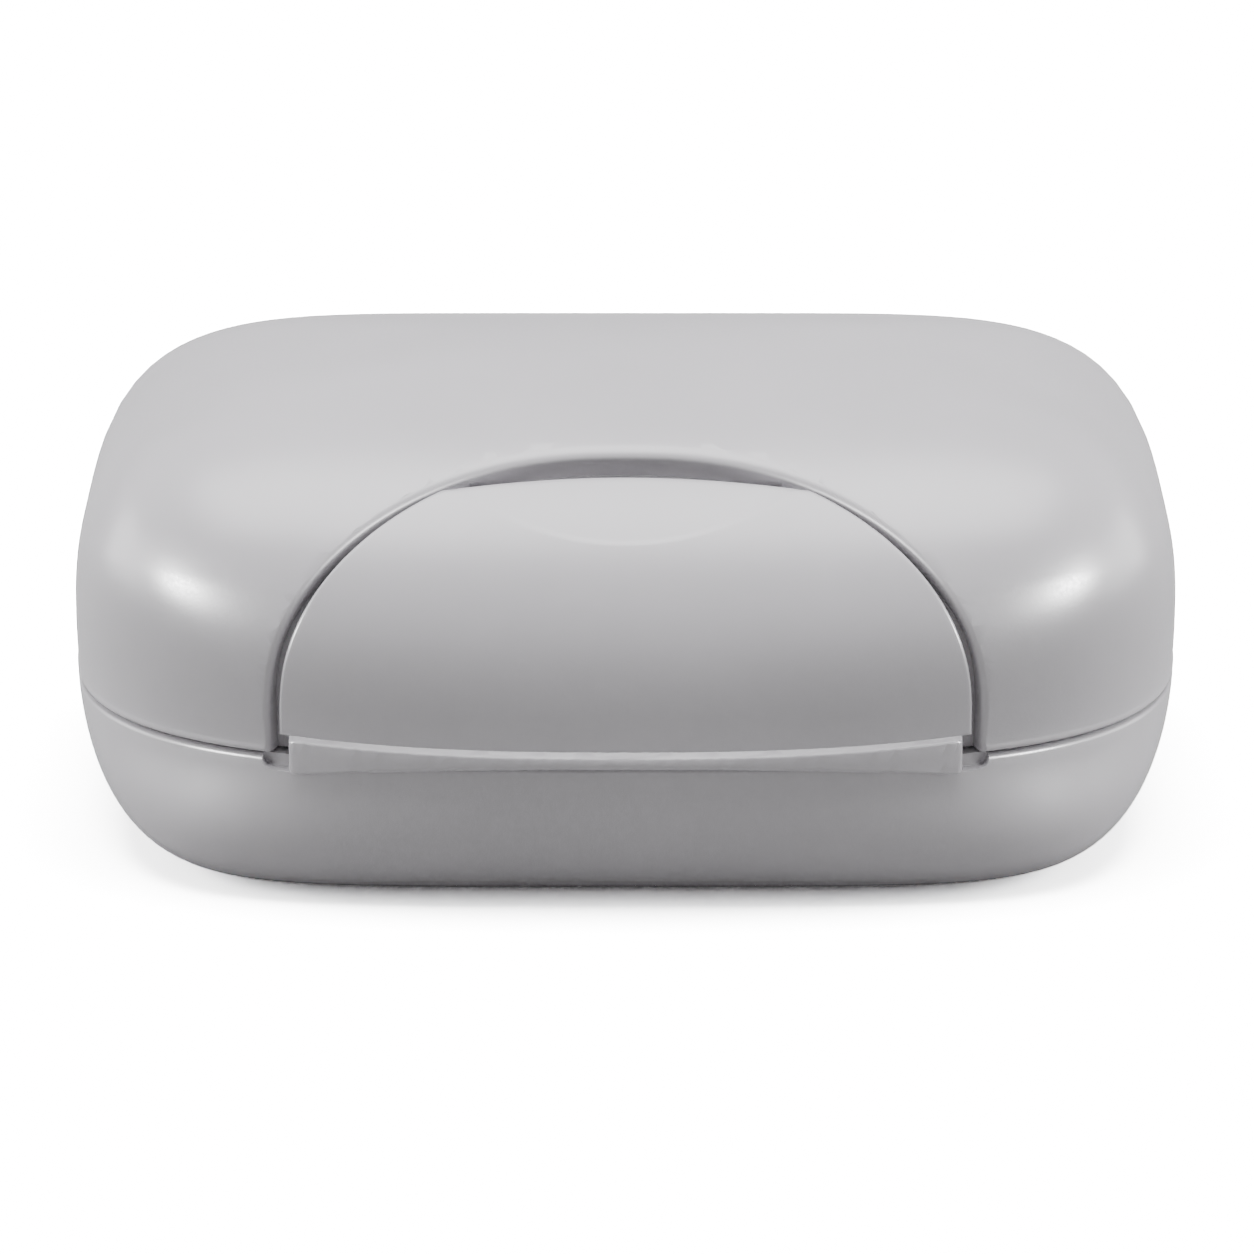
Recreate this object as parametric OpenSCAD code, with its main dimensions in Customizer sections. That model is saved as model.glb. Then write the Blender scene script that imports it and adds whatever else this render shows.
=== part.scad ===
/* [Box] */
// Overall width of the closed box
box_w = 115; // [108:1:125]
// Depth of the box at the seam, without the rear hinge
box_d = 86; // [82:1:92]
// Height of the base from the table to the seam
base_h = 16; // [15:0.5:18]
// Height of the lid above the seam
lid_h = 32.4; // [31:0.1:36]
// Thickness of the moulded walls
wall = 1.8; // [1.6:0.1:2]
// Height of the dark line between lid and base
seam_gap = 0.3; // [0.2:0.05:0.4]

/* [Form] */
// Squareness of the outline at the seam
corner_seam = 3; // [2.8:0.1:3.4]
// Squareness of the outline at the crown of the lid
corner_top = 7; // [6:0.5:8]
// Squareness of the outline at the table
corner_bottom = 6; // [5:0.5:7]
// Height of the widest level of the ends above the seam
belly_end = 1; // [0.5:0.5:3]
// Height of the deepest level of the front and back above the seam
belly_face = 5; // [4:0.5:6]
// Fullness of the lid seen from the front
dome_end = 3.6; // [3.2:0.1:4]
// Fullness of the lid seen from the end
dome_face = 2.1; // [2:0.1:2.3]
// Fullness of the base seen from the front
bilge_end = 2.1; // [1.9:0.1:2.4]
// Fullness of the base seen from the end
bilge_face = 3.2; // [2.8:0.1:3.6]
// Share of the width that the base draws in towards the table
tuck_end = 0.29; // [0.24:0.01:0.32]
// Share of the depth that the base draws in towards the table
tuck_face = 0.31; // [0.26:0.01:0.34]
// Radius of the soft edge along the seam
seam_edge = 0.6; // [0.4:0.1:0.8]

/* [Latch] */
// Width of the latch flap
flap_w = 70; // [66:1:72]
// Height of the latch arch above its spring line
arch_h = 23.5; // [22.5:0.1:23.5]
// Height of the spring line of the arch above the seam
arch_spring = 4; // [3.5:0.5:4]
// Fullness of the latch arch
arch_full = 2.5; // [2.3:0.1:2.6]
// Thickness of the latch flap
flap_t = 1.5; // [1.3:0.1:1.5]
// Gap between the flap and the side of its recess
flap_side_gap = 1.4; // [1.2:0.1:1.6]
// Height of the top edge of the flap above the seam, at the middle
flap_top = 25.9; // [25.6:0.1:25.9]
// Rise of the top edge of the flap from its shoulders to the middle
flap_crown = 0.65; // [0.4:0.05:0.8]
// Depth of the thumb dish at the top edge of the flap
dish_depth = 0.85; // [0.5:0.05:0.9]
// Length of the thumb dish down the flap
dish_length = 7.2; // [6:0.2:8]
// Height of the flap's pivot above the seam
pivot_z = 23.3; // [23:0.1:23.5]
// Depth of the flap's pivot under the surface of the lid, level
pivot_in = 3.9; // [3.8:0.1:4.1]
// Diameter of the latch pin
latch_pin_d = 2; // [1.6:0.1:2]
// How far the pull lip stands out from the flap
lip_out = 0.9; // [0.7:0.1:1.1]
// Height of the crease over the pull lip above the seam
lip_top = 1.8; // [1.6:0.1:2]
// Height of the sloped top face of the pull lip
lip_slope = 0.75; // [0.6:0.05:0.9]
// Width of each hook end of the pull lip
hook_w = 8; // [7:0.5:9]
// Drop of the hook ends below the seam
hook_drop = 1.7; // [1.5:0.1:1.9]

/* [Seal] */
// Width of the sealing lip on the base
seal_lip_w = 1.1; // [1:0.1:1.2]
// Height of the sealing lip above the seam
seal_lip_h = 1.6; // [1.4:0.1:1.8]
// Height of the soft seal ring
gasket_h = 1.2; // [1:0.1:1.4]

/* [Hinge] */
// Distance of each rear hinge from the middle of the box
hinge_x = 22; // [19:0.5:25]
// Length of each rear hinge
hinge_l = 15; // [13:0.5:16]
// Diameter of the hinge knuckles
knuckle_d = 4.4; // [4.2:0.1:4.6]
// Diameter of the hinge pins
hinge_pin_d = 2; // [1.8:0.1:2.2]
// Distance of the hinge axis behind the back of the box
hinge_out = 2.6; // [2.6:0.1:3]

/* [Tray] */
// Height of the tray plate above the floor of the base
tray_lift = 5.7; // [5:0.1:6]
// Thickness of the tray
tray_t = 1.5; // [1.3:0.1:1.7]
// Height of the raised rim of the tray above its plate
tray_rim = 2.4; // [2:0.1:2.6]
// Number of drain slots on each side of the middle
slot_pairs = 4; // [3:1:4]

/* [Hidden] */
facets = 72;
turn = 360 / facets;
lid_rings = 12;
base_rings = 8;
round_fn = 48;
fit = 0.3;
run_fit = 0.06;
tiny = 0.02;
half_gap = seam_gap / 2;
crown = 83;
crown_rise = lid_h * (1 - sin(crown));

recess_d = flap_t + fit + 0.1;
recess_wall = 1.5;
skirt = recess_d + 0.8;
lip_outer = skirt + fit;
lip_inner = lip_outer + seal_lip_w;
gasket_outer = skirt;
gasket_inner = lip_inner + fit;
flange_inner = gasket_inner + 0.9;
gasket_z = seal_lip_h + fit;
groove_z = gasket_z + gasket_h;

arch_gap = flap_side_gap + tiny;
arch_rise = 0.35;
edge_step = 0.6;
arch_fuller = 0.1;
flap_draft = 0.9;
lip_half = flap_w / 2 - 1.1;
hook_in = lip_half - hook_w;
pocket_d = 1;
bead_out = 0.25;
bead_fit = 0.06;
pocket_in = hook_in - 0.8;
pocket_out = flap_w / 2 + 1.3;
pocket_drop = hook_drop + 0.45;

barrel_r = latch_pin_d / 2 + 0.75;
barrel_half = flap_w * 0.27;
nose_r = 2.8;
barrel_room = nose_r + fit;
boss_r = barrel_room + 1.2;
latch_pin_half = flap_w * 0.39;

hinge_y = box_d / 2 + hinge_out;
knuckle_r = knuckle_d / 2;
pin_r = hinge_pin_d / 2;
lid_knuckle_l = hinge_l * 0.38;
knuckle_gap = 0.25;
web_h = 6.5;

tray_in = flange_inner + 0.55;
floor_z = wall - base_h;
tray_z = floor_z + tray_lift;
slot_w = 3;
slot_pitch = 9;
rib_h = 1.1;
leg_r = 3;

pivot_y = pivot_in - half_d(pivot_z, 0, 0);
hook_y = -half_d(0, -lip_out, 0) * pow(1 - pow(lip_half / (box_w / 2), corner_seam), 1 / corner_seam);
swing_r = sqrt(pow(pivot_z + hook_drop, 2) + pow(hook_y - pivot_y, 2));

front_from = 215;
front_to = 325;
front_levels = [-3.4, -1.6, 0, 2.5, 5, 8, 11, 14, 17, 19.5, 22, 24, 25.8, 27.4, 28.8];

// Share of the size left at height t, from 0 at the belly to 1 at the top or the table.
function fall(t, full) = pow(max(0, 1 - pow(t, full)), 1 / full);

function draw(z, belly, up, down, dome, bilge, tuck) =
    z > belly
        ? fall(min(1, (z - belly) / (up - belly)), dome)
        : 1 - tuck * (1 - fall(min(1, (belly - z) / (belly + down)), bilge));

function squareness(z, up, down) =
    z > 0
        ? corner_seam + (corner_top - corner_seam) * pow(min(1, z / up), 1.8)
        : corner_seam + (corner_bottom - corner_seam) * pow(min(1, -z / down), 0.8);

function half_w(z, inset, deep) =
    (box_w / 2 - inset) * draw(z, belly_end, lid_h - deep, base_h - deep, dome_end, bilge_end, tuck_end);

function half_d(z, inset, deep) =
    (box_d / 2 - inset) * draw(z, belly_face, lid_h - deep, base_h - deep, dome_face, bilge_face, tuck_face);

// Level outline of the box at height z over the seam, moved in by inset.
function ring(z, inset, deep, from = 0, to = 360 - turn) =
    let (
        w = half_w(z, inset, deep),
        d = half_d(z, inset, deep),
        n = squareness(z, lid_h - deep, base_h - deep)
    )
    [for (a = [from : turn : to + tiny])
        let (r = pow(pow(abs(cos(a)), n) + pow(abs(sin(a)), n), -1 / n))
        [w * cos(a) * r, d * sin(a) * r, z]];

function middle(outline) = [for (k = [0 : 2]) [for (p = outline) p[k]] * [for (p = outline) 1 / len(outline)]];

function lid_level(i, deep) = (lid_h - deep) * sin(crown * i / lid_rings);
function base_level(i, deep) = -(base_h - deep) * sin(90 * i / base_rings);

// Closed skin through a stack of outlines, lowest first; the last one closes to a point raised by rise.
module loft(rings, rise = 0) {
    count = len(rings[0]);
    last = len(rings) - 1;
    points = [for (r = rings) each r];
    low_mid = middle(rings[0]);
    high_mid = middle(rings[last]) + [0, 0, rise];
    floor_tip = len(points);
    roof_tip = floor_tip + 1;
    walls = [for (k = [0 : last - 1], i = [0 : count - 1])
        let (j = (i + 1) % count, a = k * count, b = a + count)
        each [[a + i, b + i, b + j], [a + i, b + j, a + j]]];
    floor_face = [for (i = [0 : count - 1]) [i, (i + 1) % count, floor_tip]];
    roof_face = [for (i = [0 : count - 1])
        let (top = last * count)
        [top + (i + 1) % count, top + i, roof_tip]];
    polyhedron(
        points = concat(points, [low_mid, high_mid]),
        faces = concat(floor_face, walls, roof_face),
        convexity = 8
    );
}

// Upright band of one outline at the seam.
module band(inset, low, high) {
    translate([0, 0, low])
        linear_extrude(height = high - low)
            polygon([for (p = ring(0, inset, 0)) [p[0], p[1]]]);
}

// Front part of the body, moved in by inset, for the latch and its recess.
module front_form(inset, low = -4, high = 40) {
    loft([for (z = front_levels) if (z >= low && z <= high)
        ring(z, inset, inset, front_from, front_to)]);
}

module front_stack(levels) {
    loft([for (l = levels) ring(l[0], l[1], l[1], front_from, front_to)]);
}

// Half-moon outline of the latch, seen from the front.
module arch(grow, rise = 0, fuller = 0) {
    w = flap_w / 2 + grow;
    bend = 2 / (arch_full + fuller);
    curve = [for (a = [0 : 3.75 : 180])
        let (c = cos(a), s = sin(a))
        [sign(c) * w * pow(abs(c), bend), arch_spring + (arch_h + rise) * pow(abs(s), bend)]];
    polygon(concat([[-w, -base_h], [w, -base_h]], curve));
}

module from_front(near = -box_d, far = -box_d * 0.19) {
    translate([0, far, 0])
        rotate([90, 0, 0])
            linear_extrude(height = far - near)
                children();
}

module at_pivot() {
    translate([0, pivot_in - half_d(pivot_z, 0, 0), pivot_z])
        rotate([0, 90, 0])
            children();
}

module at_hinge(side) {
    translate([side * hinge_x, hinge_y, 0])
        rotate([0, 90, 0])
            children();
}

module on_table() {
    translate([0, 0, base_h])
        children();
}

// Side profile of a hinge knuckle with its web to the wall; up is 1 for the lid, -1 for the base.
module knuckle_profile(up) {
    circle(r = knuckle_r, $fn = round_fn);
    inner = hinge_out + 3.2;
    polygon([[-up * fit, 0], [-up * knuckle_r, 0], [-up * web_h, -inner], [-up * fit, -inner]]);
}

module knuckle(side, up, x, length) {
    translate([x, 0, 0])
        translate([0, hinge_y, 0])
            rotate([0, 90, 0])
                linear_extrude(height = length)
                    knuckle_profile(up);
}

// Base

module base_blank() {
    loft(concat(
        [for (i = [base_rings : -1 : 1]) ring(base_level(i, 0), 0, 0)],
        [
            ring(-half_gap - seam_edge * 1.2, 0, 0),
            ring(-half_gap - seam_edge * 0.4, seam_edge * 0.3, 0),
            ring(-half_gap, seam_edge, 0)
        ]
    ));
}

module base_cavity() {
    loft(concat(
        [for (i = [base_rings : -1 : 3]) ring(base_level(i, wall), wall, wall)],
        [
            ring(-3.6, lip_inner, 0),
            ring(seal_lip_h + 2, lip_inner, 0)
        ]
    ));
}

module pocket_cut(side) {
    difference() {
        from_front()
            translate([side * (pocket_in + pocket_out) / 2, 0])
                union() {
                    translate([-(pocket_out - pocket_in) / 2, 0.6 - pocket_drop])
                        square([pocket_out - pocket_in, pocket_drop]);
                    translate([-(pocket_out - pocket_in) / 2 + 0.6, -pocket_drop])
                        square([pocket_out - pocket_in - 1.2, pocket_drop]);
                    for (end = [-1, 1])
                        translate([end * ((pocket_out - pocket_in) / 2 - 0.6), 0.6 - pocket_drop])
                            circle(r = 0.6, $fn = 24);
                }
        front_stack([
            [-3.4, pocket_d],
            [-1.05, pocket_d],
            [-0.8, pocket_d - bead_out],
            [-0.6, pocket_d - bead_out],
            [-0.4, pocket_d],
            [2, pocket_d]
        ]);
    }
}

module base_knuckles(side) {
    length = (hinge_l - lid_knuckle_l) / 2 - knuckle_gap;
    start = side * hinge_x - hinge_l / 2;
    knuckle(side, -1, start, length);
    knuckle(side, -1, start + hinge_l - length, length);
}

module base_shell() {
    color([0.72, 0.72, 0.74])
        on_table()
            difference() {
                union() {
                    base_blank();
                    band(lip_outer, -2, seal_lip_h);
                    for (side = [-1, 1])
                        base_knuckles(side);
                }
                base_cavity();
                band(lip_inner, -1, seal_lip_h + 1);
                for (side = [-1, 1]) {
                    pocket_cut(side);
                    at_hinge(side)
                        cylinder(r = pin_r, h = hinge_l + 2, center = true, $fn = round_fn);
                }
            }
}

// Lid

module lid_blank() {
    loft(concat(
        [
            ring(half_gap, seam_edge, 0),
            ring(half_gap + seam_edge * 0.35, seam_edge * 0.3, 0),
            ring(half_gap + seam_edge, 0, 0)
        ],
        [for (i = [1 : lid_rings]) ring(lid_level(i, 0), 0, 0)]
    ), crown_rise);
}

module lid_cavity() {
    loft(concat(
        [
            ring(-1, flange_inner, 0),
            ring(groove_z + 0.6, flange_inner, 0)
        ],
        [for (i = [3 : lid_rings]) ring(lid_level(i, wall), wall, wall)]
    ), crown_rise);
}

module recess_pad() {
    intersection() {
        difference() {
            front_form(recess_d - 0.6);
            front_form(recess_d + recess_wall);
        }
        from_front()
            intersection() {
                arch(arch_gap + 1.6, arch_rise + 1, arch_fuller);
                translate([-box_w / 2, half_gap])
                    square([box_w, lid_h]);
            }
    }
}

module latch_boss() {
    intersection() {
        at_pivot()
            cylinder(r = boss_r, h = 2 * latch_pin_half + 2.4, center = true, $fn = round_fn);
        front_form(0.9);
    }
}

module recess_cut() {
    difference() {
        from_front()
            arch(arch_gap, arch_rise, arch_fuller);
        difference() {
            front_form(recess_d);
            at_pivot()
                cylinder(r = barrel_room, h = flap_w, center = true, $fn = round_fn);
        }
    }
    difference() {
        from_front()
            arch(arch_gap + edge_step, arch_rise + edge_step, arch_fuller);
        front_form(edge_step * 0.8);
    }
}

module lid_knuckle(side) {
    knuckle(side, 1, side * hinge_x - lid_knuckle_l / 2, lid_knuckle_l);
}

module lid_shell() {
    color([0.78, 0.78, 0.8])
        on_table()
            difference() {
                union() {
                    difference() {
                        union() {
                            lid_blank();
                            for (side = [-1, 1])
                                lid_knuckle(side);
                        }
                        lid_cavity();
                    }
                    recess_pad();
                    latch_boss();
                }
                difference() {
                    band(gasket_outer, -1, groove_z);
                    band(gasket_inner, -2, groove_z + 1);
                }
                recess_cut();
                at_pivot()
                    cylinder(r = latch_pin_d / 2, h = 2 * latch_pin_half, center = true, $fn = round_fn);
                for (side = [-1, 1])
                    at_hinge(side)
                        cylinder(r = pin_r + run_fit, h = hinge_l, center = true, $fn = round_fn);
            }
}

// Latch

// Room behind the flap's top edge, trimmed so that the edge turns as a round nose.
module nose_trim() {
    at_pivot()
        difference() {
            rotate([0, 0, -28])
                translate([-20, 0, -flap_w])
                    cube([40, 20, 2 * flap_w]);
            cylinder(r = nose_r, h = 3 * flap_w, center = true, $fn = 96);
        }
}

module flap_plate() {
    top_r = pow(flap_w * 0.253, 2) / (2 * flap_crown);
    intersection() {
        difference() {
            front_form(0);
            front_form(flap_t);
            difference() {
                front_form(flap_t * 0.4);
                from_front()
                    arch(-flap_draft, -flap_draft);
            }
        }
        from_front()
            intersection() {
                arch(0);
                translate([0, flap_top - top_r])
                    circle(r = top_r, $fn = 360);
                translate([-flap_w, half_gap + 0.15])
                    square([2 * flap_w, lid_h]);
            }
    }
}

module pull_lip() {
    intersection() {
        difference() {
            front_stack([
                [-3.4, -lip_out],
                [lip_top - lip_slope, -lip_out],
                [lip_top, -tiny],
                [lip_top + 0.6, 0.3]
            ]);
            front_form(flap_t);
            intersection() {
                front_stack([[-3.5, -fit], [0, -fit], [half_gap + 0.15, -fit]]);
                cube([2 * hook_in, 3 * box_d, 3 * base_h], center = true);
            }
            difference() {
                front_stack([
                    [-3.5, 0.45],
                    [-1.75, 0.45],
                    [-1.4, pocket_d - bead_out - bead_fit],
                    [-1.25, pocket_d - bead_out - bead_fit],
                    [-0.95, 0.4],
                    [half_gap + 0.15, 0.4]
                ]);
                cube([2 * hook_in - tiny, 3 * box_d, 3 * base_h], center = true);
            }
        }
        cube([2 * lip_half, 3 * box_d, 3 * base_h], center = true);
        at_pivot()
            cylinder(r = swing_r, h = flap_w, center = true, $fn = 180);
    }
}

module thumb_dish() {
    low_z = flap_top - dish_length * 0.7;
    low_y = -half_d(low_z, 0, 0);
    top_y = -half_d(flap_top, 0, 0) + dish_depth;
    lean = atan2(flap_top - low_z - dish_depth * 0.5, top_y - low_y);
    dish_r = pow(flap_w * 0.25, 2) / (2 * dish_depth);
    translate([0, low_y, low_z])
        rotate([lean - 90, 0, 0])
            translate([0, -dish_r, 0])
                cylinder(r = dish_r, h = 4 * dish_length, center = true, $fn = 360);
}

module latch_flap() {
    color([0.8, 0.8, 0.82])
        on_table()
            difference() {
                union() {
                    difference() {
                        flap_plate();
                        nose_trim();
                        thumb_dish();
                    }
                    pull_lip();
                    at_pivot()
                        cylinder(r = barrel_r, h = 2 * barrel_half, center = true, $fn = round_fn);
                }
                at_pivot()
                    cylinder(r = latch_pin_d / 2 + run_fit, h = 2 * latch_pin_half, center = true, $fn = round_fn);
            }
}

module latch_pin() {
    color([0.75, 0.76, 0.78])
        on_table()
            at_pivot()
                cylinder(r = latch_pin_d / 2, h = 2 * latch_pin_half, center = true, $fn = round_fn);
}

// Hinge pins and seal

module hinge_pin(side) {
    color([0.75, 0.76, 0.78])
        on_table()
            at_hinge(side)
                cylinder(r = pin_r, h = hinge_l, center = true, $fn = round_fn);
}

module hinge_pin_left() {
    hinge_pin(-1);
}

module hinge_pin_right() {
    hinge_pin(1);
}

module lid_gasket() {
    color([0.9, 0.9, 0.88])
        on_table()
            difference() {
                band(gasket_outer + tiny, gasket_z, groove_z);
                band(gasket_inner - tiny, gasket_z - 1, groove_z + 1);
            }
}

// Drain tray

module slot_outline(length) {
    square([slot_w, length - slot_w], center = true);
    for (end = [-1, 1])
        translate([0, end * (length - slot_w) / 2])
            circle(d = slot_w, $fn = 24);
}

module tray_outline(inset) {
    polygon([for (p = ring(0, inset, 0)) [p[0], p[1]]]);
}

module drain_tray() {
    color([0.84, 0.84, 0.86])
        on_table()
            translate([0, 0, tray_z])
                difference() {
                    union() {
                        linear_extrude(height = tray_t)
                            tray_outline(tray_in);
                        linear_extrude(height = tray_t + tray_rim)
                            difference() {
                                tray_outline(tray_in);
                                tray_outline(tray_in + 1.3);
                            }
                        for (i = [-slot_pairs : slot_pairs + 1])
                            translate([(i - 0.5) * slot_pitch - 0.8, -box_d * 0.27, tray_t - tiny])
                                cube([1.6, box_d * 0.54, rib_h + tiny]);
                        for (x = [-1, 1], y = [-1, 1])
                            translate([x * box_w * 0.26, y * box_d * 0.21, -tray_lift])
                                cylinder(r = leg_r, h = tray_lift + tiny, $fn = round_fn);
                    }
                    for (i = [-slot_pairs : slot_pairs])
                        translate([i * slot_pitch, 0, -1])
                            linear_extrude(height = tray_t + 2)
                                slot_outline(box_d * (abs(i) == slot_pairs ? 0.4 : 0.48));
                }
}

base_shell();
lid_shell();
latch_flap();
latch_pin();
hinge_pin_left();
hinge_pin_right();
lid_gasket();
drain_tray();
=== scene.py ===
import math

import bmesh
import bpy
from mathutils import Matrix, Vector


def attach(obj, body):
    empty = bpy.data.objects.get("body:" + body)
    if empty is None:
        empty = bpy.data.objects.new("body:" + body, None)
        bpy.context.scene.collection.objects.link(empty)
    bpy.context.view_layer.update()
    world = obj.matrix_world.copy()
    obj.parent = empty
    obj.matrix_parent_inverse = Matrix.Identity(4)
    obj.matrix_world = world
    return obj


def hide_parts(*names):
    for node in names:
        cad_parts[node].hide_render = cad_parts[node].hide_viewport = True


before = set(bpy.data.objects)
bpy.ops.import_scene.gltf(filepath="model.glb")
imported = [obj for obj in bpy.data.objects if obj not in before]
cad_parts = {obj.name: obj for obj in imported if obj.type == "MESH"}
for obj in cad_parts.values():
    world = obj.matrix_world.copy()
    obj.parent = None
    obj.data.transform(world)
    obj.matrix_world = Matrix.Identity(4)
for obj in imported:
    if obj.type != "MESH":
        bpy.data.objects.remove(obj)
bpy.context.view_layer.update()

# The case's own sizes in mm. Heights count from the seam between lid and base.
MM = 0.001
BOX_W, BOX_D = 115.0, 86.0
BASE_H, LID_H = 16.0, 32.4
WALL, LID_EDGE, BASE_EDGE = 1.8, 0.3, 0.6

# The bulge seen from the front (W) and from the side (D): the widest height, how full the
# lid's dome and the base's bilge are, and the share by which the base draws in at the table.
BELLY_W, DOME_W, BILGE_W, TUCK_W = 1.0, 3.6, 2.1, 0.29
BELLY_D, DOME_D, BILGE_D, TUCK_D = 5.0, 2.1, 3.2, 0.31

# How square the outline is in plan: at the seam, and what crown and bottom add to it.
SQUARE_SEAM, SQUARE_CROWN, SQUARE_BOTTOM, SQUARE_EASE = 3.0, 4.0, 3.0, 1.8

# Seam: half of its gap, the base's sealing lip, the lid's groove and flange, and the fine
# step above the lid's rim that fades out upwards.
SEAM_HALF, RIM_BREAK = 0.15, 0.15
LIP_OUTER, LIP_INNER, LIP_H, LIP_EDGE = 3.0, 4.1, 1.6, 0.3
GROOVE_OUTER, GROOVE_INNER, GROOVE_TOP, FLANGE_INNER = 2.7, 4.4, 3.1, 5.3
RIM_STEP, RIM_FADE = 0.07, 4.5

# Latch recess, with the heights between which it gets deeper, the half-moon's roundness and
# spring that the flap shares, and the thicker wall behind the recess with the pin's boss.
RECESS_DEPTH, RECESS_HALF, RECESS_RISE, RECESS_EDGE = 2.3, 35.9, 23.5, 0.75
RECESS_MORE, DEEPER_FROM, DEEPER_TO, RECESS_FOOT = 0.5, 15.0, 24.0, -4.0
ARCH_FULL, ARCH_SPRING = 2.4, 4.0
BACKING_HALF, BACKING_TOP, BACKING_T, BACKING_MORE = 38.5, 25.5, 1.6, 0.8
BOSS_HALF, BOSS_R = 28.5, 4.3

# Latch flap: outline, shallow dish in its face, and its back with the nose over the pin.
FLAP_HALF, FLAP_RISE, FLAP_TOP, FLAP_EDGE = 34.9, 23.5, 25.9, 0.3
FLAP_T, FLAP_THINNEST = 1.5, 0.35
FOOT_SIDE, FOOT_MIDDLE, FOOT_BEND = 2.2, 1.3, 0.9
CROWN_HALF, CROWN_DROP = 17.7, 0.65
DISH_LOW, DISH_CURVE, DISH_STEP, DISH_CREASE = 21.0, 0.014, 0.13, 0.35
DISH_SLOPE, DISH_BOW = 0.12, 0.012
BACK_LEAN, NOSE_R, NOSE_LOW = 0.531, 2.8, -2.2

# Pin of the flap, the barrel round it, and the room that the lid leaves for the barrel.
PIVOT_Y, PIVOT_Z = -29.045, 23.3
BARREL_R, BARREL_BORE, BARREL_HALF = 1.75, 1.06, 15.4
ROOM_R, ROOM_STRAIGHT, ROOM_END_R, ROOM_HALF = 3.0, 12.5, 2.15, 15.8

# Pull bar with its hook ends, and the pockets in the base that they drop into.
BAR_HALF, BAR_OUT = 33.9, 0.9
HOOK_IN, SWING_R = 25.9, 27.57
POCKET_IN, POCKET_OUT, POCKET_Z, POCKET_UP, POCKET_ROOM = 25.1, 36.6, 0.9, 2.5, 0.2

# Rear hinges with their pins, the middle knuckle's share of the length, and the gap beside it.
HINGE_Y, HINGE_X, HINGE_L = 45.6, 22.0, 15.0
KNUCKLE_R, PIN_R, KNUCKLE_SHARE, KNUCKLE_GAP = 2.2, 1.0, 0.38, 0.25

# Points round the shells, and the distance under which two points are one.
SHELL_AROUND, WELD = 288, 0.0005

# Studio: brightness of the floor and the surroundings, power of the lamps in watts, the
# camera's lens in mm, and its place and target in metres.
FLOOR_BOUNCE, FLOOR_SEEN, WORLD_LIGHT = 0.27, 7.0, 0.12
TOP_POWER, SIDE_POWER, SPOT_POWER = 34.0, 22.0, 66.0
LENS, SENSOR, LENS_SHIFT = 217.15, 36.0, 0.0011
EYE_PLACE, EYE_TARGET = (0, -0.7608, 0.264), (0, 0, 0.01677)


# The case's form
def fall(share, full):
    """Drop of a quarter round from 1 to 0; full sets how square the round is."""
    return max(0.0, 1.0 - share ** full) ** (1.0 / full)


def bulge(z, belly, up, down, dome, bilge, tuck):
    """Share of the full half width at a height: the dome above the belly, the bilge below."""
    if z > belly:
        return fall(min(1.0, (z - belly) / (up - belly)), dome)
    return 1.0 - tuck * (1.0 - fall(min(1.0, (belly - z) / (belly + down)), bilge))


def squareness(z, up, down):
    """Exponent of the outline in plan at a height."""
    if z > 0:
        return SQUARE_SEAM + SQUARE_CROWN * min(1.0, z / up) ** SQUARE_EASE
    return SQUARE_SEAM + SQUARE_BOTTOM * min(1.0, -z / down) ** SQUARE_EASE


def half_w(z, inset, deep):
    """Half of the width at a height; inset brings the sides in, deep the crown and the bottom."""
    share = bulge(z, BELLY_W, LID_H - deep, BASE_H - deep, DOME_W, BILGE_W, TUCK_W)
    return (BOX_W / 2 - inset) * share


def half_d(z, inset, deep):
    """Half of the depth at a height, in the same way."""
    share = bulge(z, BELLY_D, LID_H - deep, BASE_H - deep, DOME_D, BILGE_D, TUCK_D)
    return (BOX_D / 2 - inset) * share


def outline_point(turn, z, inset, deep):
    """Point of the outline at a height, at a share of a turn from the right side."""
    a = 2 * math.pi * turn
    c, s = math.cos(a), math.sin(a)
    n = squareness(z, LID_H - deep, BASE_H - deep)
    r = (abs(c) ** n + abs(s) ** n) ** (-1.0 / n)
    return Vector((half_w(z, inset, deep) * c * r, half_d(z, inset, deep) * s * r, z))


def front_y(x, z, inset):
    """Place in depth of the front wall, inset from the outside."""
    n = squareness(z, LID_H - inset, BASE_H - inset)
    share = min(1.0, abs(x) / max(1e-6, half_w(z, inset, inset)))
    return -half_d(z, inset, inset) * max(0.0, 1.0 - share ** n) ** (1.0 / n)


def surface_normal(x, z):
    """Outward normal of the case's outside at a point of its front."""
    step = 0.05
    gx = (front_y(x + step, z, 0) - front_y(x - step, z, 0)) / (2 * step)
    gz = (front_y(x, z + step, 0) - front_y(x, z - step, 0)) / (2 * step)
    return Vector((gx, -1.0, gz)).normalized()


def smooth_step(low, high, value):
    """Soft step from 0 at low to 1 at high."""
    t = max(0.0, min(1.0, (value - low) / (high - low)))
    return t * t * (3 - 2 * t)


# Mesh tools
def finish_piece(name, bm, sharp=32.0):
    """Turns a bmesh in mm above the seam into a smooth piece in metres above the table."""
    bmesh.ops.translate(bm, verts=bm.verts, vec=(0, 0, BASE_H))
    bmesh.ops.scale(bm, verts=bm.verts, vec=(MM, MM, MM))
    mesh = bpy.data.meshes.new(name)
    bm.to_mesh(mesh)
    bm.free()
    for face in mesh.polygons:
        face.use_smooth = True
    mesh.set_sharp_from_angle(angle=math.radians(sharp))
    piece = bpy.data.objects.new(name, mesh)
    bpy.context.scene.collection.objects.link(piece)
    return piece


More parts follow.
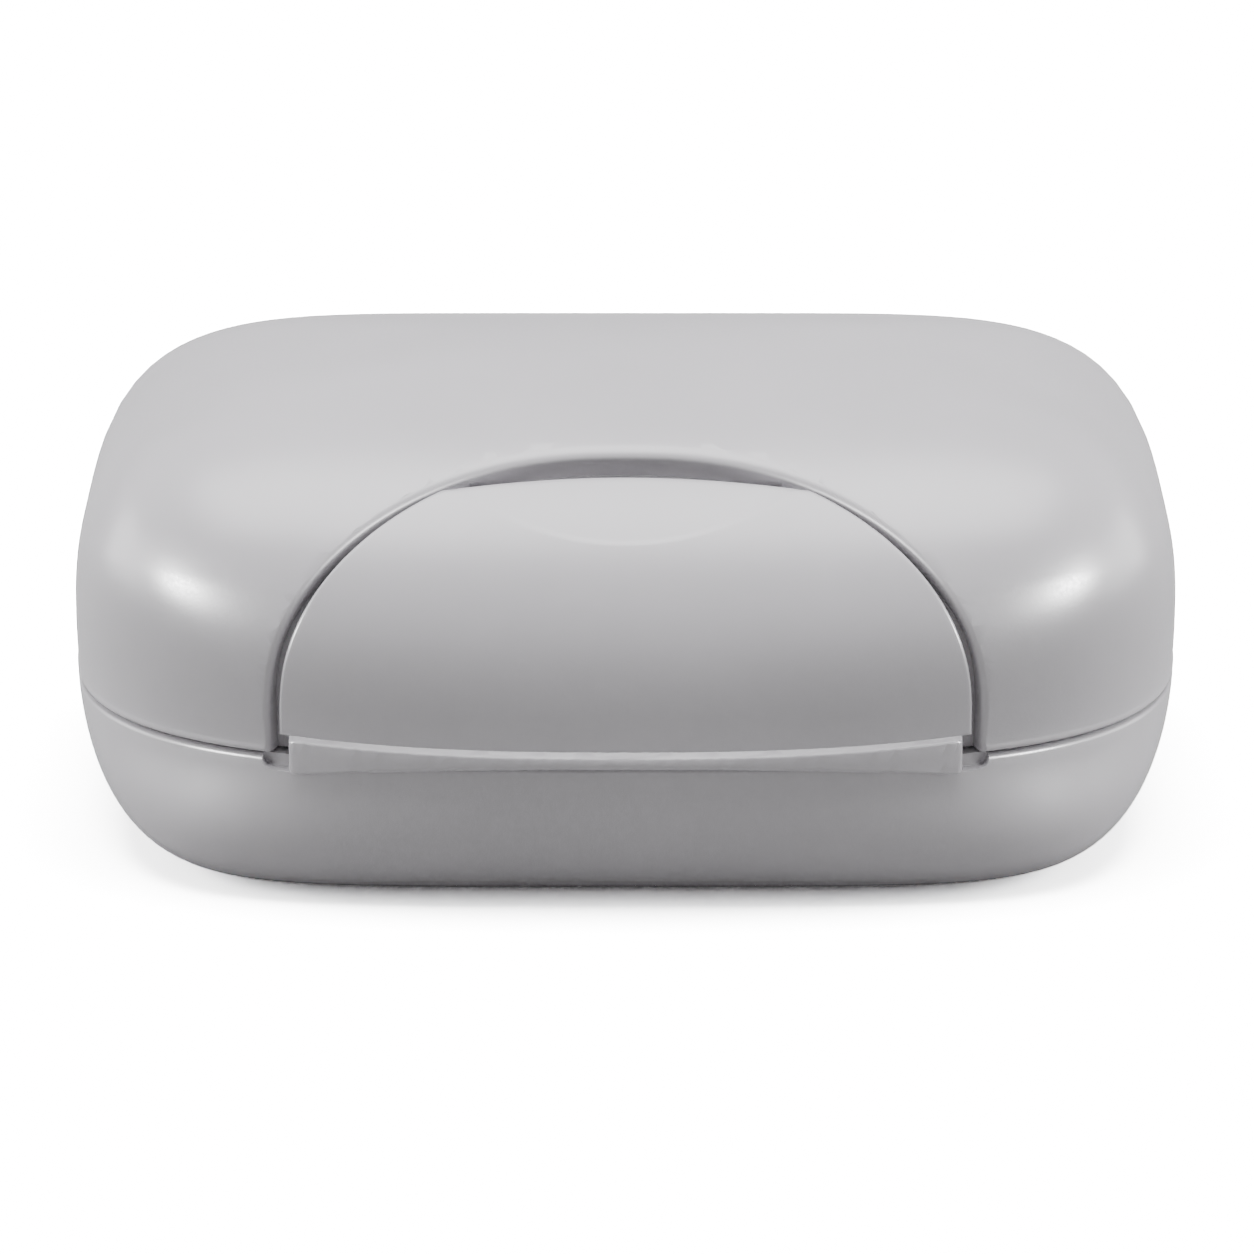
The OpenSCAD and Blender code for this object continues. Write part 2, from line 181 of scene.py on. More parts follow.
def skin(around, steps, place):
    """A closed skin: a ball of rings whose points move to place(step, share of a turn)."""
    bm = bmesh.new()
    bmesh.ops.create_uvsphere(bm, u_segments=around, v_segments=steps, radius=1.0)
    for v in bm.verts:
        level = 0.5 + math.asin(max(-1.0, min(1.0, v.co.z))) / math.pi
        turn = (math.atan2(v.co.y, v.co.x) / (2 * math.pi)) % 1.0
        v.co = place(int(round(level * steps)), turn)
    return outward(bm)


def outward(bm):
    """Turns the faces of a closed form outwards."""
    bmesh.ops.recalc_face_normals(bm, faces=bm.faces)
    if bm.calc_volume(signed=True) < 0:
        bmesh.ops.reverse_faces(bm, faces=bm.faces)
    return bm


def spun(section, around, closed=False):
    """A form turned about X from its half section, given as (x, radius) points."""
    bm = bmesh.new()
    verts = [bm.verts.new((x, 0, r)) for x, r in section]
    edges = [bm.edges.new(pair) for pair in zip(verts, verts[1:])]
    if closed:
        edges.append(bm.edges.new((verts[-1], verts[0])))
    bmesh.ops.spin(bm, geom=verts + edges, cent=(0, 0, 0), axis=(1, 0, 0), angle=2 * math.pi,
                   steps=around, use_merge=True, use_duplicate=False)
    bmesh.ops.remove_doubles(bm, verts=bm.verts, dist=WELD)
    return outward(bm)


def rod(radius, x_from, x_to, y, z, bore=0.0, edge=0.25, around=64):
    """A rod or tube along X with broken edges."""
    section = [(x_from, bore), (x_from, radius), (x_to, radius), (x_to, bore)]
    bm = spun(section, around, closed=bore > 0)
    rims = [e for e in bm.edges if len(e.link_faces) == 2 and e.calc_face_angle(0) > 1.0]
    bmesh.ops.bevel(bm, geom=rims, offset=edge, segments=3, profile=0.5, affect="EDGES",
                    material=-1, clamp_overlap=True)
    bmesh.ops.translate(bm, verts=bm.verts, vec=(0, y, z))
    return bm


def join(*parts):
    """Puts several bmeshes into one."""
    whole = bmesh.new()
    for part in parts:
        mesh = bpy.data.meshes.new("part")
        part.to_mesh(mesh)
        part.free()
        whole.from_mesh(mesh)
        bpy.data.meshes.remove(mesh)
    return whole


def carve(bm, cutter):
    """Cuts one closed bmesh with another and gives back the result."""
    objects = []
    for part in (bm, cutter):
        mesh = bpy.data.meshes.new("carve")
        part.to_mesh(mesh)
        part.free()
        objects.append(bpy.data.objects.new("carve", mesh))
        bpy.context.scene.collection.objects.link(objects[-1])
    cut = objects[0].modifiers.new("carve", "BOOLEAN")
    cut.object = objects[1]
    cut.operation = "DIFFERENCE"
    cut.solver = "EXACT"
    bpy.context.view_layer.update()
    shape = objects[0].evaluated_get(bpy.context.evaluated_depsgraph_get())
    result = bmesh.new()
    result.from_mesh(shape.to_mesh())
    shape.to_mesh_clear()
    for o in objects:
        mesh = o.data
        bpy.data.objects.remove(o)
        bpy.data.meshes.remove(mesh)
    bmesh.ops.dissolve_degenerate(result, dist=WELD, edges=result.edges)
    return result


# Latch outline
def arch_curve(half, rise, foot, count=180):
    """Half-moon curve from the right foot over the top to the left foot."""
    climb = [foot + (ARCH_SPRING - foot) * i / 12 for i in range(12)]
    points = [(half, z) for z in climb]
    for i in range(count + 1):
        a = math.pi * i / count
        c, s = math.cos(a), math.sin(a)
        x = math.copysign(half * abs(c) ** (2 / ARCH_FULL), c)
        points.append((x, ARCH_SPRING + rise * abs(s) ** (2 / ARCH_FULL)))
    points += [(-half, z) for z in reversed(climb)]
    return points


def close_loop(points, count):
    """Spaces count points evenly along a closed loop."""
    ring = points + [points[0]]
    runs = [0.0]
    for a, b in zip(ring, ring[1:]):
        runs.append(runs[-1] + math.hypot(b[0] - a[0], b[1] - a[1]))
    out, j = [], 0
    for i in range(count):
        want = runs[-1] * i / count
        while runs[j + 1] < want:
            j += 1
        f = (want - runs[j]) / max(1e-9, runs[j + 1] - runs[j])
        out.append((ring[j][0] + f * (ring[j + 1][0] - ring[j][0]),
                    ring[j][1] + f * (ring[j + 1][1] - ring[j][1])))
    return out


def grow_loop(loop, grow):
    """Moves a closed loop outwards (or inwards) along its normals."""
    out = []
    count = len(loop)
    for i, (x, z) in enumerate(loop):
        ax, az = loop[i - 2]
        bx, bz = loop[(i + 2) % count]
        tx, tz = bx - ax, bz - az
        size = math.hypot(tx, tz) or 1.0
        out.append((x + grow * tz / size, z - grow * tx / size))
    return out


def latch_form(loop, levels, centre):
    """Closed form over a loop seen from the front; levels are (share, grow, place rule)."""
    rings = [grow if isinstance(grow, list) else grow_loop(loop, grow) for _, grow, _ in levels]
    count = len(loop)

    def place(step, turn):
        if step in (0, len(levels) + 1):
            rule = levels[0][2] if step == 0 else levels[-1][2]
            return rule(*centre)
        share, _, rule = levels[step - 1]
        px, pz = rings[step - 1][int(round(turn * count)) % count]
        x = centre[0] + (px - centre[0]) * share
        z = centre[1] + (pz - centre[1]) * share
        return rule(x, z)

    return skin(count, len(levels) + 1, place)


def recess_depth(z):
    """Depth of the recess, which grows a little towards the pin."""
    return RECESS_DEPTH + RECESS_MORE * smooth_step(DEEPER_FROM, DEEPER_TO, z)


def recess_cutter():
    """Half-moon recess: walls square to the case's face, with a wide rounded edge."""
    loop = close_loop(arch_curve(RECESS_HALF, RECESS_RISE, RECESS_FOOT), 300)[::-1]
    floor_rings, edge_rings, edge_r, ahead_y = 14, 8, RECESS_EDGE, -60.0

    def floor(x, z):
        return Vector((x, front_y(x, z, recess_depth(z)), z))

    def at_depth(depth):
        def rule(x, z):
            sunk = depth(z) if callable(depth) else depth
            return Vector((x, front_y(x, z, 0), z)) - surface_normal(x, z) * sunk
        return rule

    def ahead(x, z):
        return Vector((x, ahead_y, z))

    bottom = [at_depth(recess_depth)(x, z) for x, z in loop]
    bottom = [(p.x, p.z) for p in bottom]
    levels = [(i / floor_rings, bottom, floor) for i in range(1, floor_rings)]
    levels += [(1.0, 0.0, at_depth(lambda z, k=k: edge_r + (recess_depth(z) - edge_r) * k))
               for k in (1.0, 0.66, 0.33, 0.0)]
    for i in range(1, edge_rings + 1):
        a = math.radians(i * 10.5)
        levels.append((1.0, -edge_r * (1 - math.cos(a)), at_depth(edge_r * (1 - math.sin(a)))))
    levels.append((1.0, -edge_r * 1.25, at_depth(-0.3)))
    levels += [(1.0, -edge_r * 1.25, ahead), (0.5, 0.0, ahead)]
    return latch_form(loop, levels, (0.0, 9.0))


# Lid
def lid_profile():
    """(height, inset, depth, kind) from the inner crown out over the rim to the crown."""
    rings = []
    inner_top, flange_top, inner_rings = LID_H - WALL, 11.0, 30
    for i in range(1, inner_rings):
        z = BELLY_W + (inner_top - BELLY_W) * fall(i / inner_rings, DOME_W)
        if z < flange_top:
            break
        rings.append((z, WALL, WALL, "inner"))
    rings += [(9.0, 2.6, WALL, "inner"), (6.0, 4.2, 1.0, "flange")]
    low = SEAM_HALF + RIM_BREAK
    groove = [(3.7, FLANGE_INNER), (low, FLANGE_INNER), (SEAM_HALF, FLANGE_INNER - RIM_BREAK),
              (SEAM_HALF, GROOVE_INNER + RIM_BREAK), (low, GROOVE_INNER), (GROOVE_TOP, GROOVE_INNER),
              (GROOVE_TOP, GROOVE_OUTER), (low, GROOVE_OUTER), (SEAM_HALF, GROOVE_OUTER - RIM_BREAK)]
    rings += [(z, inset, 0, "flange") for z, inset in groove]
    for i in range(6):
        a = math.radians(18 * i)
        z = SEAM_HALF + LID_EDGE * (1 - math.cos(a))
        rings.append((z, LID_EDGE * (1 - math.sin(a)), 0, "outer"))
    rings += [(0.62, 0.0, 0, "outer"), (0.8, 0.045, 0, "outer"), (1.05, RIM_STEP, 0, "outer")]
    wall_low, wall_rings, dome_rings = 0.75, 17, 44
    for i in range(1, wall_rings + 1):
        z = wall_low + i
        rings.append((z, RIM_STEP * (1 - smooth_step(1.0, RIM_FADE, z)), 0, "outer"))
    start = fall((wall_low + wall_rings - BELLY_W) / (LID_H - BELLY_W), DOME_W)
    for i in range(1, dome_rings):
        share = start * (1 - i / dome_rings)
        rings.append((BELLY_W + (LID_H - BELLY_W) * fall(share, DOME_W), 0, 0, "outer"))
    return rings


def backed_wall(p, turn, z, inset, deep):
    """Thickens the inner wall behind the recess; points near the pin move out to the boss."""
    reach = (abs(p.x) / BACKING_HALF) ** 2.5 + (max(0.0, z - 4) / BACKING_TOP) ** 2.5
    thick = BACKING_T + BACKING_MORE * smooth_step(18.0, 22.0, z)
    more = thick * (1 - smooth_step(1.0, 1.18, reach))
    p = outline_point(turn, z, inset + more, deep + more * 0.8)
    away = Vector((0, p.y - PIVOT_Y, z - PIVOT_Z))
    if abs(p.x) < BOSS_HALF and away.length < BOSS_R:
        away = away.normalized() * BOSS_R
        p = Vector((p.x, PIVOT_Y + away.y, PIVOT_Z + away.z))
    return p


def barrel_room():
    """Room for the flap's barrel, narrower at its two ends."""
    half = [(-ROOM_HALF, 0), (-ROOM_HALF, ROOM_END_R), (-ROOM_STRAIGHT, ROOM_R)]
    room = spun(half + [(-x, radius) for x, radius in reversed(half)], 72)
    bmesh.ops.translate(room, verts=room.verts, vec=(0, PIVOT_Y, PIVOT_Z))
    return room


def lid_body():
    """Domed lid with its rim groove, the latch recess and the room for the barrel."""
    rings = lid_profile()

    def place(step, turn):
        if step == 0:
            return Vector((0, 0, LID_H - WALL))
        if step == len(rings) + 1:
            return Vector((0, 0, LID_H))
        z, inset, deep, kind = rings[step - 1]
        p = outline_point(turn, z, inset, deep)
        if kind == "inner" and p.y < 0:
            p = backed_wall(p, turn, z, inset, deep)
        return p

    bm = skin(SHELL_AROUND, len(rings) + 1, place)
    bm = carve(bm, recess_cutter())
    return carve(bm, barrel_room())


# Base
def base_profile():
    """(height, inset, depth) from the bottom out over the sealing lip to the inner floor."""
    bowl = [math.sin(math.radians(90 * i / 30)) for i in range(31)]
    rings = [(-BASE_H * share, 0, 0) for share in bowl[:1:-1]]
    for i in range(7):
        a = math.radians(15 * i)
        z = -SEAM_HALF - BASE_EDGE * (1 - math.sin(a))
        rings.append((z, BASE_EDGE * (1 - math.cos(a)), 0))
    rings += [(-SEAM_HALF, LIP_OUTER - 0.2, 0), (-0.05, LIP_OUTER, 0)]
    for side, inset, angles in ((1, LIP_OUTER, (0, 30, 60, 90)), (-1, LIP_INNER, (90, 60, 30, 0))):
        for angle in angles:
            a = math.radians(angle)
            z = LIP_H - LIP_EDGE + LIP_EDGE * math.sin(a)
            rings.append((z, inset + side * LIP_EDGE * (1 - math.cos(a)), 0))
    rings += [(-0.8, LIP_INNER, 0), (-3.6, LIP_INNER, 0), (-5.6, 2.9, 1.0)]
    rings += [(-(BASE_H - WALL) * share, WALL, WALL) for share in bowl[12:]]
    return rings


def bar_out(x):
    """How far the bar stands out of the case's face."""
    return BAR_OUT - 0.25 * (x / BAR_HALF) ** 2


def under_bar(x, reach):
    """Height of the bar's underside, which runs on the arc that it swings on."""
    y = front_y(x, 0, -reach)
    return PIVOT_Z - math.sqrt(SWING_R ** 2 - (y - PIVOT_Y) ** 2)


def pocket_cutter(side):
    """Catch pocket that the end of the bar drops into."""
    middle, half, full = (POCKET_IN + POCKET_OUT) / 2, (POCKET_OUT - POCKET_IN) / 2, 7
    shares = (0, 0.5, 0.93, 0.98, 1, 1.04, 1.04, 0.5, 0)
    insets, ahead_y = (1.0, 1.0, 1.0, 0.85, 0.2, -0.1), -50.0

    def place(step, turn):
        a = 2 * math.pi * turn
        c, s = math.cos(a), math.sin(a)
        r = (abs(c) ** full + abs(s) ** full) ** (-1 / full)
        x = side * (middle + half * c * r * shares[step])
        near = min(abs(x), BAR_HALF)
        down = POCKET_Z - (under_bar(near, bar_out(near)) + POCKET_ROOM)
        z = POCKET_Z + (down if s < 0 else POCKET_UP) * s * r * shares[step]
        y = front_y(x, z, insets[step]) if step < len(insets) else ahead_y
        return Vector((x, y, z))

    return skin(120, len(shares) - 1, place)


def base_body():
    """Shallow base with its sealing lip and the two catch pockets."""
    rings = base_profile()

    def place(step, turn):
        if step == 0:
            return Vector((0, 0, -BASE_H))
        if step == len(rings) + 1:
            return Vector((0, 0, WALL - BASE_H))
        z, inset, deep = rings[step - 1]
        return outline_point(turn, z, inset, deep)

    bm = skin(SHELL_AROUND, len(rings) + 1, place)
    return carve(bm, join(pocket_cutter(-1), pocket_cutter(1)))


# Latch flap
def flap_face(x, z):
    """The flap's outside: the case's face with a shallow dish behind a soft crease."""
    over = max(0.0, z - (DISH_LOW + DISH_CURVE * x * x))
    step = DISH_STEP * smooth_step(0.0, DISH_CREASE, over)
    return front_y(x, z, 0) + step + DISH_SLOPE * over + DISH_BOW * over * over


def flap_back(x, z):
    """The flap's back: it follows the face, then runs up to a nose round the pin."""
    y = front_y(x, z, FLAP_T)
    up = z - PIVOT_Z
    plane = PIVOT_Y + BACK_LEAN * up
    nose = PIVOT_Y + math.sqrt(max(0.0, NOSE_R ** 2 - up * up))
    if up > NOSE_LOW:
        y = min(y, max(plane, nose))
    return max(y, flap_face(x, z) + FLAP_THINNEST)


def flap_outline():
    """Half-moon outline with a flatter crown and a foot that follows the bar's crease."""
    crown_r = CROWN_HALF ** 2 / (2 * CROWN_DROP)
    points = []
    for x, z in arch_curve(FLAP_HALF, FLAP_RISE, FOOT_SIDE, 240):
        crown = FLAP_TOP - crown_r + math.sqrt(crown_r ** 2 - x * x)
        points.append((x, min(z, crown)))
    foot = [-FLAP_HALF + 2 * FLAP_HALF * i / 40 for i in range(1, 40)]
    points += [(x, FOOT_MIDDLE + FOOT_BEND * (x / FLAP_HALF) ** 4) for x in foot]
    return close_loop(points, 420)[::-1]


def flap_plate():
    """Thin half-moon plate whose edges run square to the case's face."""
    loop = flap_outline()
    edge, rim_depth = FLAP_EDGE, 1.25
    back_rings, fine_rings, fine_step, core, core_rings = 16, 46, 0.0075, 0.65, 30

    def sunk(depth):
        return lambda x, z: Vector((x, flap_face(x, z), z)) - surface_normal(x, z) * depth

    def back(x, z):
        return Vector((x, flap_back(x, z), z))

    rim = [sunk(rim_depth)(x, z) for x, z in grow_loop(loop, 0.3)]
    rim = [(p.x, p.z) for p in rim]
    levels = [(i / back_rings, rim, back) for i in range(1, back_rings)]
    levels += [(1.0, 0.3, sunk(rim_depth)), (1.0, 0.12, sunk(1.1)), (1.0, 0.05, sunk(0.7))]
    for i in range(6):
        a = math.radians(18 * i)
        levels.append((1.0, edge * (1 - math.cos(a)), sunk(edge * (1 - math.sin(a)))))
    levels += [(1 - i * fine_step, edge, sunk(0.0)) for i in range(1, fine_rings + 1)]
    levels += [(core * (1 - i / core_rings), edge, sunk(0.0)) for i in range(core_rings)]
    return latch_form(loop, levels, (0.0, 10.0))


def bar_section(x):
    """Closed section of the pull bar at x: (distance out from the case's face, height).

    hook is 0 along the bar and 1 on its two hook ends; bow is 0 in the middle and 1 at the ends.
    """
    hook = smooth_step(HOOK_IN - 0.15, HOOK_IN + 0.15, abs(x))
    bow = (x / BAR_HALF) ** 2
    inner, out = 0.3 - 0.75 * hook, bar_out(x)
    lean, top_r, foot_r = 0.1 * (1 - bow), 0.35, 0.22
    crease = 1.45 + 0.8 * bow
    shoulder = crease - 0.42 + 0.12 * bow
    low, waist = under_bar(x, out), 0.12 + 0.05 * bow

    def arc(centre_out, centre_z, radius, angles):
        return [(centre_out + radius * math.cos(math.radians(a)),
                 centre_z + radius * math.sin(math.radians(a))) for a in angles]

    loop = [(-1.2, crease + 0.85), (-0.4, crease + 0.6), (-0.06, crease + 0.08), (0.05, crease - 0.02)]
    loop += arc(out - top_r - lean, shoulder - 0.27, top_r, (80, 65, 50, 35, 20, 5))
    loop += [(out, max(low + 0.5, waist)), (out - 0.03, low + 0.3)]
    loop += arc(out - 0.25, low + foot_r, foot_r, (-5, -35, -65))
    foot = under_bar(x, inner + 0.12)
    foot += hook * max(0.0, low + 0.3 - foot)
    middle = under_bar(x, (out + inner) / 2)
    middle += hook * max(0.0, low + 0.1 - middle)
    loop += [((out + inner) / 2, middle), (inner + 0.1, foot)]
    loop += [(inner, foot + 0.12), (inner, 0.0), (inner, 0.33), (-1.3, 0.36), (-1.35, 1.2)]
    return loop


def pull_bar():
    """Bar along the flap's foot, with rounded ends; stations are (x, share of the section)."""
    end = [(0, 0.4), (0, 0.74), (0.05, 0.84), (0.15, 0.91), (0.3, 0.965), (0.5, 0.995)]
    end = [(-BAR_HALF + run, share) for run, share in end]
    straight, spans = 33.1, 88
    stations = end + [(-straight + 2 * straight * i / spans, 1.0) for i in range(spans + 1)]
    stations += [(-x, share) for x, share in reversed(end)]
    count = len(bar_section(0.0))

    def place(step, turn):
        inside = 1 <= step <= len(stations)
        x, share = stations[max(1, min(step, len(stations))) - 1]
        loop = bar_section(x)
        mid_out, mid_z = 0.1, (max(p[1] for p in loop) + min(p[1] for p in loop)) / 2
        out, z = mid_out, mid_z
        if inside:
            out, z = loop[int(round(turn * count)) % count]
            out, z = mid_out + (out - mid_out) * share, mid_z + (z - mid_z) * share
        return Vector((x, front_y(x, z, -out), z))

    return skin(count, len(stations) + 1, place)


def latch_barrel():
    """Barrel on the flap's back that turns on the pin."""
    return rod(BARREL_R, -BARREL_HALF, BARREL_HALF, PIVOT_Y, PIVOT_Z, bore=BARREL_BORE, edge=0.2)


# Hinge
def knuckle(x_from, x_to, up):
    """Hinge knuckle with its web to the wall; up is 1 on the lid, -1 on the base."""
    tube = rod(KNUCKLE_R, x_from, x_to, HINGE_Y, 0, bore=PIN_R + 0.02, edge=0.3)
    web = bmesh.new()
    bmesh.ops.create_cube(web, size=1.0)
    web_low, web_high, web_back, web_front = 0.3, 6.3, HINGE_Y - 1.0, HINGE_Y - 5.6
    for v in web.verts:
        near, high = v.co.y > 0, v.co.z > 0
        x = x_from if v.co.x < 0 else x_to
        y = web_back if near else web_front
        z = (KNUCKLE_R * 0.93 if near else web_high) if high else web_low
        v.co = (x, y, up * z)
    outward(web)
    bmesh.ops.bevel(web, geom=list(web.edges), offset=0.25, segments=3, profile=0.5,
                    affect="EDGES", material=-1, clamp_overlap=True)
    return join(tube, web)


def hinge_knuckles():
    """Both hinges: the outer knuckles are the base's, the middle ones are the lid's."""
    middle = HINGE_L * KNUCKLE_SHARE
    end = (HINGE_L - middle) / 2 - KNUCKLE_GAP
    outer, inner = [], []
    for side in (-1, 1):
        mid = side * HINGE_X
        start, stop = mid - HINGE_L / 2, mid + HINGE_L / 2
        outer += [knuckle(start, start + end, -1), knuckle(stop - end, stop, -1)]
        inner.append(knuckle(mid - middle / 2, mid + middle / 2, 1))
    return join(*outer), join(*inner)


# Finishes
def group_socket(group, name, way, value=None):
    """Adds a number socket to a node group."""
    socket = group.interface.new_socket(name=name, in_out=way, socket_type="NodeSocketFloat")
    if value is not None:
        socket.default_value = value


def moulded_grain():
    """Fine eroded grain of moulded plastic: a height and a patchiness mask."""
    group = bpy.data.node_groups.new("moulded_grain", "ShaderNodeTree")
    group_socket(group, "Scale", "INPUT", 3200.0)
    group_socket(group, "Height", "OUTPUT")
    group_socket(group, "Patches", "OUTPUT")
    n, link = group.nodes, group.links.new
    source, sink = n.new("NodeGroupInput"), n.new("NodeGroupOutput")
    where = n.new("ShaderNodeTexCoord")
    fine = n.new("ShaderNodeTexNoise")
    fine.inputs["Detail"].default_value = 3.0
    fine.inputs["Roughness"].default_value = 0.6
    link(where.outputs["Object"], fine.inputs["Vector"])
    link(source.outputs["Scale"], fine.inputs["Scale"])
    broad = n.new("ShaderNodeTexNoise")
    broad.inputs["Scale"].default_value = 55.0
    broad.inputs["Detail"].default_value = 3.0
    link(where.outputs["Object"], broad.inputs["Vector"])
    link(fine.outputs["Fac"], sink.inputs["Height"])
    link(broad.outputs["Fac"], sink.inputs["Patches"])
    return group


def new_material(name):
    """A new material with its node tree and shader."""
    material = bpy.data.materials.new(name)
    material.use_nodes = True
    return material, material.node_tree, material.node_tree.nodes["Principled BSDF"]


def tint(tree, mask, dark, light, reach, shader):
    """Colours the shader from dark to light over a mask."""
    ramp = tree.nodes.new("ShaderNodeValToRGB")
    for i, colour in enumerate((dark, light)):
        ramp.color_ramp.elements[i].position = reach[i]
        ramp.color_ramp.elements[i].color = list(colour) + [1]
    tree.links.new(mask, ramp.inputs["Fac"])
    tree.links.new(ramp.outputs["Color"], shader.inputs["Base Color"])


def gloss(tree, mask, smooth, rough, reach, shader):
    """Spreads the shader's roughness from smooth to rough over a mask."""
    spread = tree.nodes.new("ShaderNodeMapRange")
    spread.inputs["From Min"].default_value, spread.inputs["From Max"].default_value = reach
    spread.inputs["To Min"].default_value = smooth
    spread.inputs["To Max"].default_value = rough
    tree.links.new(mask, spread.inputs["Value"])
    tree.links.new(spread.outputs["Result"], shader.inputs["Roughness"])


def plastic(name, grain, colour, rough, scale=3200.0):
    """Moulded plastic: even colour with faint clouding, fine grain in gloss and relief."""
    material, tree, shader = new_material(name)
    shader.inputs["IOR"].default_value = 1.49
    surface = tree.nodes.new("ShaderNodeGroup")
    surface.node_tree = grain
    surface.inputs["Scale"].default_value = scale
    clouding, reach = 0.03, (0.3, 0.7)
    dark = [c * (1 - clouding) for c in colour]
    light = [c * (1 + clouding) for c in colour]
    tint(tree, surface.outputs["Patches"], dark, light, reach, shader)
    gloss(tree, surface.outputs["Height"], rough - 0.04, rough + 0.05, reach, shader)
    relief = tree.nodes.new("ShaderNodeBump")
    relief.inputs["Strength"].default_value = 0.05
    relief.inputs["Distance"].default_value = 0.0001
    tree.links.new(surface.outputs["Height"], relief.inputs["Height"])
    tree.links.new(relief.outputs["Normal"], shader.inputs["Normal"])
    return material


def satin_shell(grain):
    """Satin grey of base, lid and flap."""
    return plastic("satin_shell", grain, (0.42, 0.408, 0.431), 0.33)


def tray_plastic(grain):
    """Lighter and duller grey of the drain tray."""
    return plastic("tray_plastic", grain, (0.56, 0.556, 0.576), 0.5)


def seal_rubber(grain):
    """Matt grey of the soft seal."""
    return plastic("seal_rubber", grain, (0.42, 0.42, 0.43), 0.7, scale=5000.0)


def drawn_steel():
    """Drawn wire: fine lines along the pin."""
    material, tree, shader = new_material("pin_steel")
    shader.inputs["Metallic"].default_value = 1.0
    where = tree.nodes.new("ShaderNodeTexCoord")
    stretch = tree.nodes.new("ShaderNodeMapping")
    stretch.inputs["Scale"].default_value = (60.0, 4000.0, 4000.0)
    lines = tree.nodes.new("ShaderNodeTexNoise")
    lines.inputs["Scale"].default_value = 1.0
    lines.inputs["Detail"].default_value = 2.0
    tree.links.new(where.outputs["Object"], stretch.inputs["Vector"])
    tree.links.new(stretch.outputs["Vector"], lines.inputs["Vector"])
    tint(tree, lines.outputs["Fac"], (0.42, 0.42, 0.44), (0.68, 0.68, 0.7), (0.0, 1.0), shader)
    gloss(tree, lines.outputs["Fac"], 0.22, 0.42, (0.0, 1.0), shader)
    return material


def dress(piece, material):
    """Gives a piece its one material."""
    piece.data.materials.clear()
    piece.data.materials.append(material)


# Stage
def pale_floor():
    """Floor's finish: white to the camera, grey to the light that bounces off it."""
    material, tree, shader = new_material("pale_floor")
    shader.inputs["Roughness"].default_value = 0.9
    shader.inputs["Specular IOR Level"].default_value = 0.1
    ray = tree.nodes.new("ShaderNodeLightPath")
    tone = tree.nodes.new("ShaderNodeMix")
    tone.data_type = "RGBA"
    tone.inputs["A"].default_value = (FLOOR_BOUNCE, FLOOR_BOUNCE, FLOOR_BOUNCE, 1)
    tone.inputs["B"].default_value = (FLOOR_SEEN, FLOOR_SEEN, FLOOR_SEEN, 1)
    tree.links.new(ray.outputs["Is Camera Ray"], tone.inputs["Factor"])
    tree.links.new(tone.outputs["Result"], shader.inputs["Base Color"])
    return material


def stage_floor():
    """Wide floor at the table's height."""
    floor_bm = bmesh.new()
    bmesh.ops.create_grid(floor_bm, x_segments=2, y_segments=2, size=4.0)
    mesh = bpy.data.meshes.new("floor")
    floor_bm.to_mesh(mesh)
    floor_bm.free()
    floor = bpy.data.objects.new("floor", mesh)
    bpy.context.scene.collection.objects.link(floor)
    dress(floor, pale_floor())


def turned_to(place, target):
    """Turn that points a lamp or a camera from its place at a target."""
    return (Vector(target) - Vector(place)).to_track_quat("-Z", "Y").to_euler()


def panel(name, place, target, size, power, gloss_only=False):
    """Rectangular lamp; a gloss-only one shows as a highlight and lights nothing else."""
    data = bpy.data.lights.new(name, "AREA")
    data.shape = "RECTANGLE"
    data.size, data.size_y = size
    data.energy = power
    lamp = bpy.data.objects.new(name, data)
    lamp.location = place
    lamp.rotation_euler = turned_to(place, target)
    lamp.visible_diffuse = not gloss_only
    bpy.context.scene.collection.objects.link(lamp)


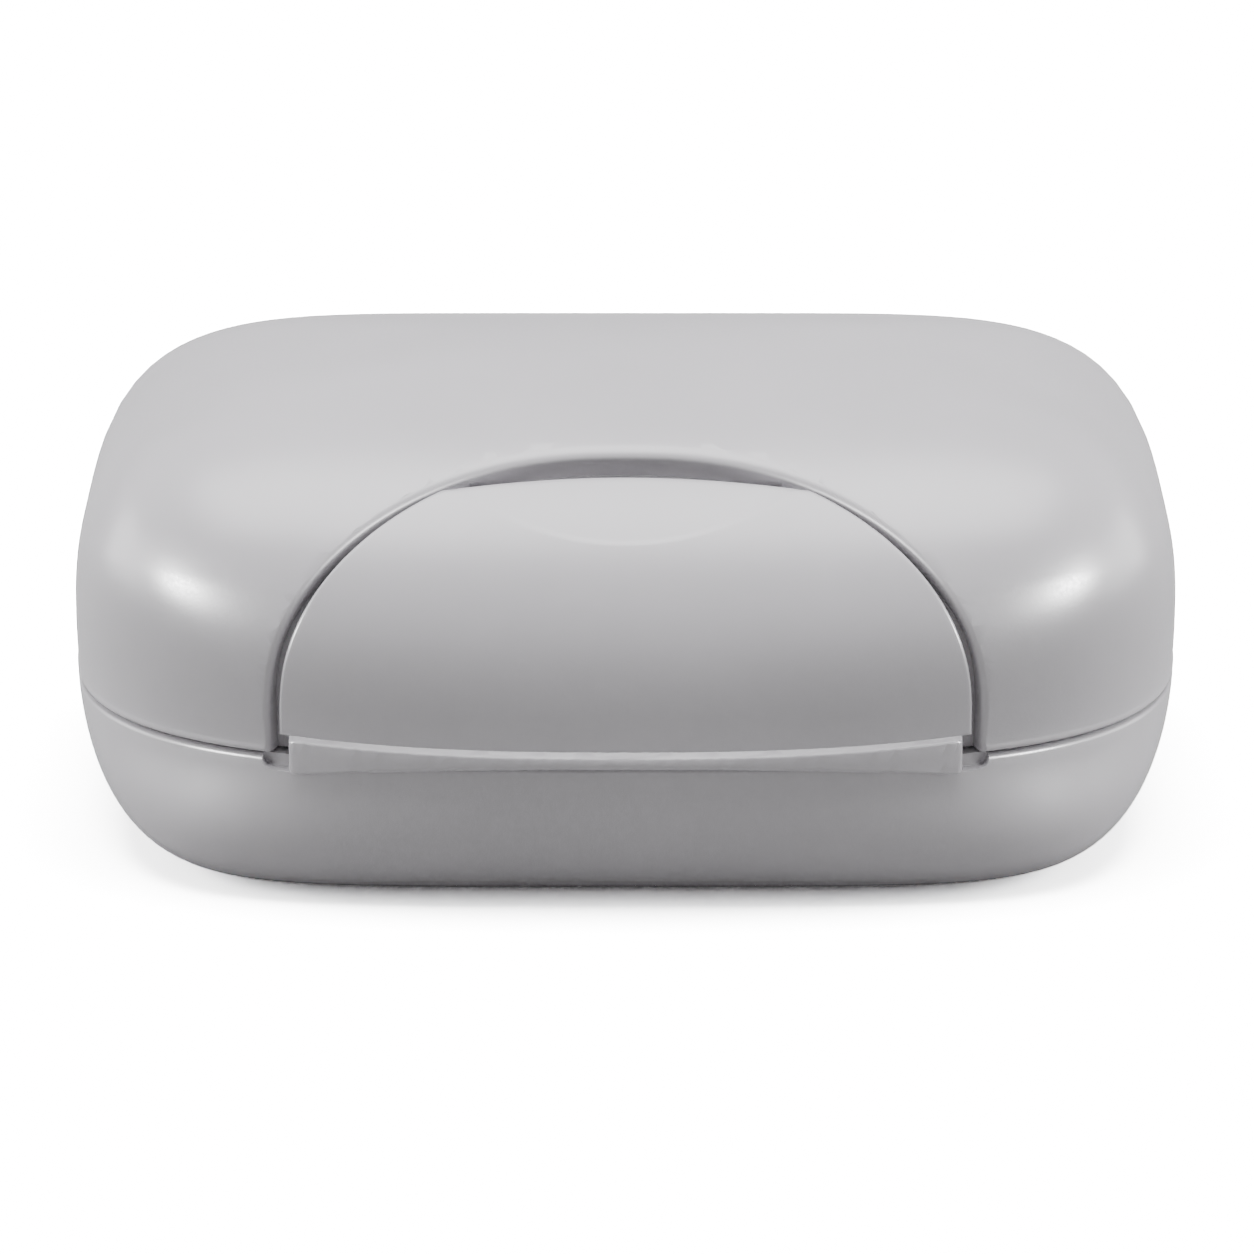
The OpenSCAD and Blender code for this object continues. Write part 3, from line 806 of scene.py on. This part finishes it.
def lamps():
    """Soft light from above, one from each side, and a small highlight on each shoulder."""
    panel("top_panel", (0.0, 0.03, 1.1), (0, 0, 0), (1.0, 0.7), TOP_POWER)
    for name, side in (("left", -1), ("right", 1)):
        panel(name + "_side_panel", (side * 1.2, 0.2, 0.3), (0, 0, 0.02), (0.9, 0.7), SIDE_POWER)
        panel(name + "_spot", (side * 0.833, -0.535, 0.393), (side * 0.045, -0.035, 0.033),
              (0.2, 0.22), SPOT_POWER, gloss_only=True)


def surroundings():
    """Weak even light from all round."""
    world = bpy.data.worlds.new("studio")
    world.use_nodes = True
    background = world.node_tree.nodes["Background"]
    background.inputs["Color"].default_value = (1, 1, 1, 1)
    background.inputs["Strength"].default_value = WORLD_LIGHT
    bpy.context.scene.world = world


def photo_camera():
    """Camera that was fitted to the photo."""
    camera = bpy.data.cameras.new("camera")
    camera.lens = LENS
    camera.sensor_width = SENSOR
    camera.sensor_fit = "HORIZONTAL"
    camera.shift_x = LENS_SHIFT
    camera.clip_end = 20
    eye = bpy.data.objects.new("camera", camera)
    eye.location = EYE_PLACE
    eye.rotation_euler = turned_to(EYE_PLACE, EYE_TARGET)
    bpy.context.scene.collection.objects.link(eye)
    bpy.context.scene.camera = eye


def studio():
    """Floor, lights and camera."""
    stage_floor()
    lamps()
    surroundings()
    photo_camera()


# Assembly
def build():
    """Makes the pieces, ties them to their bodies and dresses them and the CAD's nodes."""
    base = finish_piece("base_body", base_body())
    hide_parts("base_shell")
    lid = finish_piece("lid_body", lid_body())
    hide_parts("lid_shell")
    flap = finish_piece("flap_plate", flap_plate())
    bar = finish_piece("pull_bar", pull_bar(), sharp=50)
    barrel = finish_piece("latch_barrel", latch_barrel())
    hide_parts("latch_flap")
    outer, inner = hinge_knuckles()
    base_knuckles = finish_piece("base_knuckles", outer)
    lid_knuckles = finish_piece("lid_knuckles", inner)

    grain = moulded_grain()
    shell = satin_shell(grain)
    for piece, body in ((base, "base"), (base_knuckles, "base"), (lid, "lid"), (lid_knuckles, "lid"),
                        (flap, "flap"), (bar, "flap"), (barrel, "flap")):
        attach(piece, body)
        dress(piece, shell)

    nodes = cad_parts
    steel = drawn_steel()
    for node in ("latch_pin", "hinge_pin_left", "hinge_pin_right"):
        dress(nodes[node], steel)
    dress(nodes["lid_gasket"], seal_rubber(grain))
    dress(nodes["drain_tray"], tray_plastic(grain))


studio()
build()
